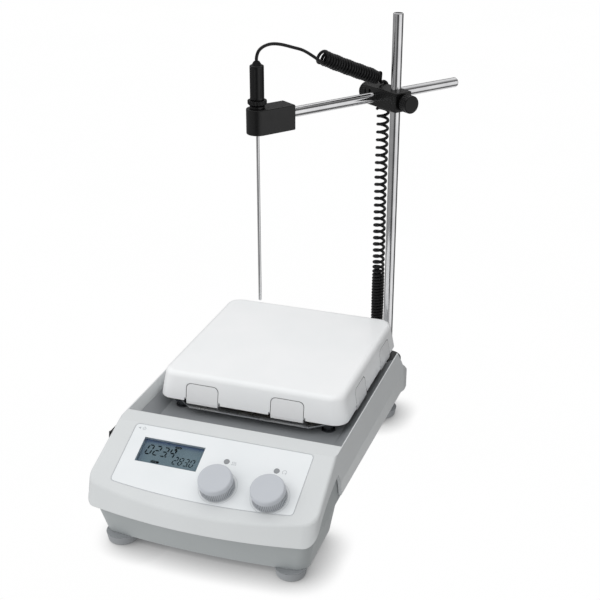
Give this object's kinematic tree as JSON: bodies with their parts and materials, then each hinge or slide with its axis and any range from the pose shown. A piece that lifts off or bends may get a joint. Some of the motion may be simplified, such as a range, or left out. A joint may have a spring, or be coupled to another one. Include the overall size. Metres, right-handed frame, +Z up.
{
  "type": "magnetic stirrer",
  "caption": "Hotplate magnetic stirrer: square white plate on a sloped-front control body, with support rod, clamp, arm and temperature probe on a coiled cable.",
  "frame": {"origin": "centre of the hot plate's flat top face", "axes": "+X to the user's right, +Y to the rear, +Z up, out of the plate"},
  "size_m": [0.2335, 0.4349, 0.424],
  "materials": {
    "painted_body": "satin",
    "painted_base": "satin",
    "dark_deck": "satin",
    "white_enamel": "gloss",
    "white_clip": "gloss",
    "overlay": "satin",
    "knob": "satin",
    "display_glass": "gloss",
    "display": "satin",
    "grey_lens": "gloss",
    "black_plastic": "satin",
    "black_alloy": "satin",
    "cable": "matte",
    "rubber": "matte",
    "steel": "polished",
    "screw_steel": "satin",
    "heater_steel": "satin",
    "fibre": "matte",
    "alloy": "satin",
    "magnet": "polished",
    "board": "satin",
    "winding": "satin",
    "core_steel": "satin",
    "fuse_glass": "gloss",
    "ribbon": "satin"
  },
  "bodies": {
    "base": {"base_casting": "painted_base", "upper_housing": "painted_body", "deck_plate": "dark_deck", "feet": "rubber", "case_screws": "screw_steel", "board_screws": "screw_steel", "hot_plate": "white_enamel", "plate_clips": "white_clip", "heater_element": "heater_steel", "insulation_pad": "fibre", "heat_shield": "steel", "plate_posts": "steel", "plate_sensor": "steel", "motor_bracket": "screw_steel", "motor_housing": "alloy", "motor_stator": "winding", "motor_bearings": "steel", "panel_overlay": "overlay", "lcd_window": "display_glass", "lcd_module": "display", "control_board": "board", "indicator_lenses": "grey_lens", "encoders": "black_plastic", "power_switch_housing": "black_plastic", "power_board": "board", "transformer": "core_steel", "heat_sink": "alloy", "ribbon_cable": "ribbon", "mains_inlet": "black_plastic", "serial_port": "steel", "sensor_socket": "steel", "sensor_plug": "black_plastic", "rod_socket": "steel", "cable_tail": "cable"},
    "support_post": {"support_rod": "steel", "rod_collar": "black_plastic", "hanging_coil": "cable"},
    "boss_head": {"clamp_block": "black_alloy", "cable_link": "cable"},
    "rod_thumb_screw": {"rod_clamp_screw": "black_plastic"},
    "arm_thumb_screw": {"arm_clamp_screw": "black_plastic"},
    "arm": {"arm_rod": "steel", "probe_holder": "black_plastic", "upper_coil": "cable"},
    "probe": {"probe_stem": "steel", "probe_nut": "black_plastic", "probe_handle": "black_plastic", "probe_lead": "cable"},
    "temperature_push": {"temperature_plunger": "black_plastic"},
    "temperature_turn": {"temperature_knob": "knob", "temperature_shaft": "steel"},
    "speed_push": {"speed_plunger": "black_plastic"},
    "speed_turn": {"speed_knob": "knob", "speed_shaft": "steel"},
    "power_switch": {"power_rocker": "black_plastic"},
    "stirring_rotor": {"motor_shaft": "steel", "magnet_carrier": "alloy", "drive_magnets": "magnet"},
    "fuse_carrier": {"fuse_drawer": "black_plastic", "fuses": "fuse_glass"}
  },
  "joints": [
    {"name": "post_swing", "type": "hinge", "parent": "base", "child": "support_post", "pos_m": [0.08, 0.108, -0.055], "axis": [0, 0, 1], "range_deg": [-60, 60], "deforming": ["cable_tail"]},
    {"name": "boss_head_height", "type": "slide", "parent": "support_post", "child": "boss_head", "axis": [0, 0, 1], "range_m": [-0.04, 0.06], "deforming": ["hanging_coil"]},
    {"name": "rod_screw_turn", "type": "hinge", "parent": "boss_head", "child": "rod_thumb_screw", "pos_m": [0.08, 0.108, 0.228], "axis": [0.809, -0.5878, 0], "range_deg": [-360, 90]},
    {"name": "arm_screw_turn", "type": "hinge", "parent": "boss_head", "child": "arm_thumb_screw", "pos_m": [0.08, 0.108, 0.228], "axis": [-0.809, 0.5878, 0], "range_deg": [-360, 90]},
    {"name": "arm_reach", "type": "slide", "parent": "boss_head", "child": "arm", "axis": [0.5878, 0.809, 0], "range_m": [-0.06, 0.06], "deforming": ["upper_coil"]},
    {"name": "probe_height", "type": "slide", "parent": "arm", "child": "probe", "axis": [0, 0, 1], "range_m": [0, 0.06], "deforming": ["probe_lead"]},
    {"name": "temperature_press", "type": "slide", "parent": "base", "child": "temperature_push", "axis": [0, 0.4115, -0.9114], "range_m": [0, 0.0007]},
    {"name": "temperature_spin", "type": "hinge", "parent": "temperature_push", "child": "temperature_turn", "pos_m": [0.0125, -0.20127, -0.04188], "axis": [0, -0.4115, 0.9114], "continuous": true},
    {"name": "speed_press", "type": "slide", "parent": "base", "child": "speed_push", "axis": [0, 0.4115, -0.9114], "range_m": [0, 0.0007]},
    {"name": "speed_spin", "type": "hinge", "parent": "speed_push", "child": "speed_turn", "pos_m": [0.0604, -0.20127, -0.04188], "axis": [0, -0.4115, 0.9114], "continuous": true},
    {"name": "power_rock", "type": "hinge", "parent": "base", "child": "power_switch", "pos_m": [-0.10279, -0.162, -0.0331], "axis": [0.0995, 0, 0.995], "range_deg": [0, 18]},
    {"name": "rotor_spin", "type": "hinge", "parent": "base", "child": "stirring_rotor", "pos_m": [0, 0, -0.052], "axis": [0, 0, 1], "continuous": true},
    {"name": "fuse_drawer_pull", "type": "slide", "parent": "base", "child": "fuse_carrier", "axis": [0, 1, 0], "range_m": [0, 0.014]}
  ]
}
